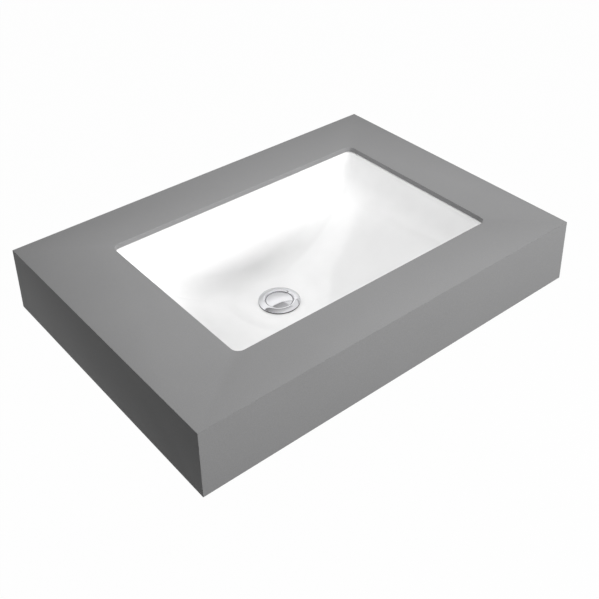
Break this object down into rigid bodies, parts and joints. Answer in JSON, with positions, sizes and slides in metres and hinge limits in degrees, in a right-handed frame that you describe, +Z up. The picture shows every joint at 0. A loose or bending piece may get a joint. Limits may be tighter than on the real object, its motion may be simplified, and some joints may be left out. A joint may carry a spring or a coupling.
{
  "type": "countertop basin",
  "caption": "Grey counter with deep mitred aprons, a white undermount basin clipped below its cut-out and a chrome pop-up waste, fixed to a wall by its rear rail.",
  "frame": {"origin": "centre of the wall rail's rear face, on the line of its wall screws", "axes": "+X along the counter to the right as seen from the front, +Y towards the wall, +Z up"},
  "size_m": [0.65, 0.465, 0.238],
  "materials": {
    "sheet": "honed mid-grey solid-surface sheet",
    "plywood": "sealed moisture-resistant plywood",
    "ceramic": "glossy white glaze",
    "silicone": "translucent white silicone",
    "zinc_steel": "bright zinc plate",
    "rubber": "matt black rubber",
    "chrome": "polished chrome plate",
    "brass": "machined brass",
    "nylon": "white nylon",
    "plastic": "grey acetal"
  },
  "bodies": {
    "counter": {"deck_panel": "sheet", "front_apron": "sheet", "left_apron": "sheet", "right_apron": "sheet", "wall_rail": "plywood", "front_batten": "plywood", "back_batten": "plywood", "left_batten": "plywood", "right_batten": "plywood", "front_left_block": "plywood", "front_right_block": "plywood", "back_left_block": "plywood", "back_right_block": "plywood", "basin": "ceramic", "rim_sealant": "silicone", "front_left_clip": "zinc_steel", "front_right_clip": "zinc_steel", "back_left_clip": "zinc_steel", "back_right_clip": "zinc_steel", "left_clip": "zinc_steel", "right_clip": "zinc_steel", "front_left_pad": "rubber", "front_right_pad": "rubber", "back_left_pad": "rubber", "back_right_pad": "rubber", "left_pad": "rubber", "right_pad": "rubber", "front_left_screw": "zinc_steel", "front_right_screw": "zinc_steel", "back_left_screw": "zinc_steel", "back_right_screw": "zinc_steel", "left_screw": "zinc_steel", "right_screw": "zinc_steel", "waste_body": "chrome", "upper_seal": "rubber", "lower_seal": "rubber", "slip_washer": "nylon", "lock_nut": "brass", "bridge": "brass", "latch_housing": "plastic", "spring": "zinc_steel"},
    "pop_up": {"plunger": "brass", "cap": "chrome", "cap_seal": "rubber"}
  },
  "joints": [
    {"name": "cap_slide", "type": "slide", "parent": "counter", "child": "pop_up", "axis": [0, 0, 1], "range_m": [0, 0.009], "deforming": ["spring"]}
  ]
}
